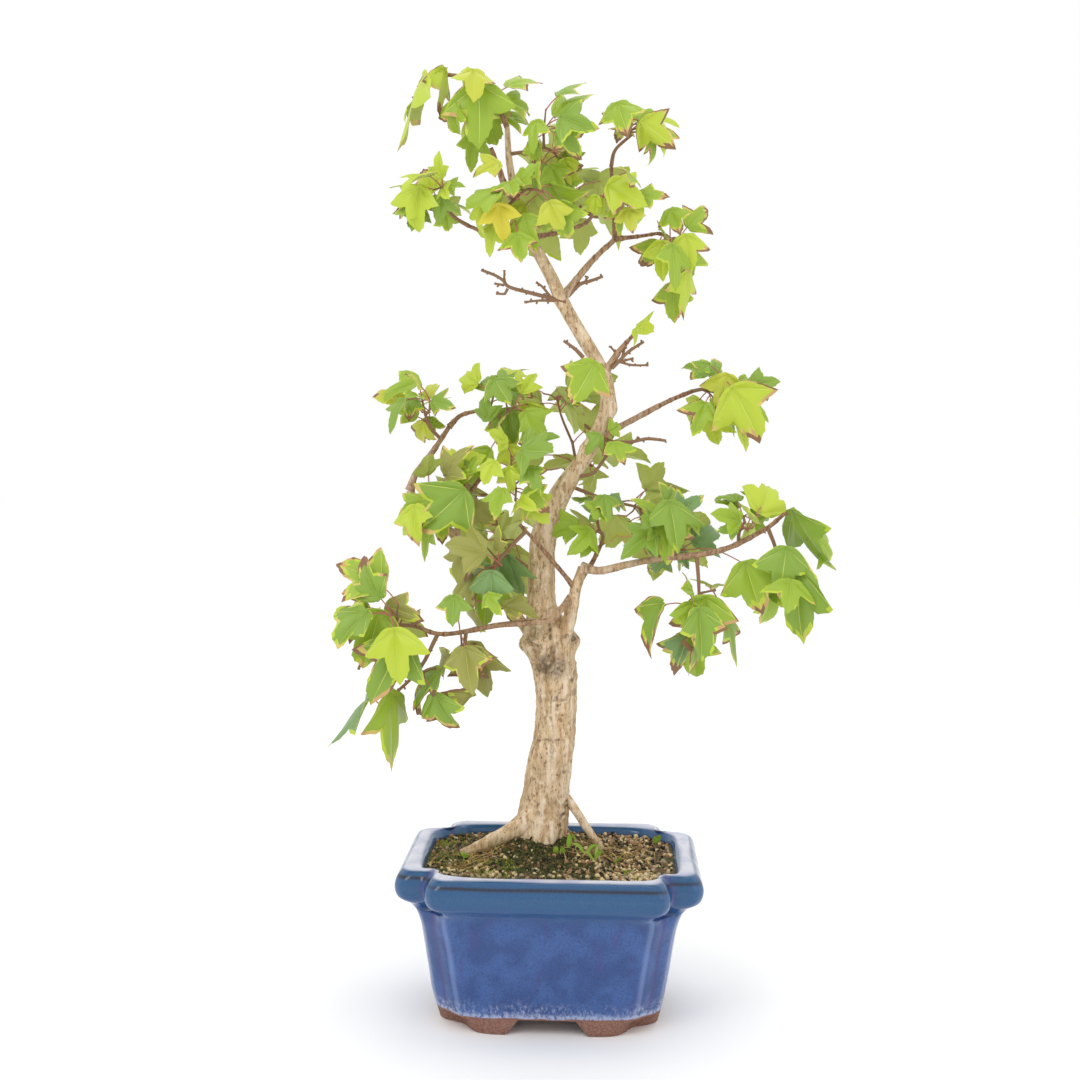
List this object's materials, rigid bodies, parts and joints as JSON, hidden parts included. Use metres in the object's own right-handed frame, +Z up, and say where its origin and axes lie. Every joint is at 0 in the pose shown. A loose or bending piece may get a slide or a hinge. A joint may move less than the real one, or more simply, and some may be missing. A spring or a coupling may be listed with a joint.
{
  "type": "potted trident maple bonsai",
  "caption": "Bonsai tree with a leaning tapering trunk, bare and leafy boughs of three-lobed leaves, in a footed rectangular glazed pot filled with mounded soil.",
  "frame": {"origin": "middle of the bounding box on the ground, under the pot's feet", "axes": "+Z up along the tree, -Y towards the front of the pot, +X to the right"},
  "size_m": [0.2976, 0.178, 0.5658],
  "materials": {
    "pot_glaze": "mid-blue gloss glaze over stoneware, darker along the lip; the four feet are bare reddish-brown clay",
    "soil": "damp granular bonsai soil with small pebbles, fibres and patches of green moss",
    "bark": "pale beige maple bark, fine vertical ridges and brown-grey speckles",
    "twig_bark": "thin reddish-brown twig bark",
    "leaves": "thin satin leaves, yellow-green to deep green, some with yellow or brown edges, on reddish stalks"
  },
  "bodies": {
    "root": {"pot": "pot_glaze", "soil": "soil", "trunk": "bark", "spur": "bark", "right_low_bough": "bark", "left_low_bough": "bark", "left_mid_bough": "bark", "left_mid_rise": "bark", "left_mid_crown_bough": "bark", "left_mid_side": "bark", "front_twig": "bark", "broom": "bark", "mid_right_bough": "bark", "right_stub": "bark", "upper_right_bough": "bark", "upper_right_rise": "bark", "upper_right_side": "bark", "top_left_bough": "bark", "top_left_twig": "bark", "top_right_bough": "bark", "dead_stub": "bark", "back_bough": "bark", "back_low_bough": "bark", "crown_high_left": "leaves", "crown_edge_leaf": "leaves", "crown_high_mid": "leaves", "crown_high_right": "leaves", "crown_mid_right": "leaves", "crown_right": "leaves", "crown_left": "leaves", "crown_front": "leaves", "crown_back": "leaves", "sprig": "leaves", "trunk_leaf": "leaves", "mid_right_tuft": "leaves", "mid_left_top": "leaves", "mid_left_crest": "leaves", "mid_left_low": "leaves", "mid_front": "leaves", "mid_left_under": "leaves", "trunk_right_tuft": "leaves", "right_inner": "leaves", "right_mid": "leaves", "right_outer": "leaves", "right_tip": "leaves", "right_hang": "leaves", "right_low": "leaves", "left_low_tip": "leaves", "left_low_drop": "leaves", "left_low_mid": "leaves", "back_high": "leaves", "back_right": "leaves", "back_low": "leaves", "bare_upper_left": "twig_bark", "bare_upper_right": "twig_bark", "bare_stub": "twig_bark", "bare_mid_right": "twig_bark", "bare_node_left": "twig_bark"}
  },
  "joints": []
}
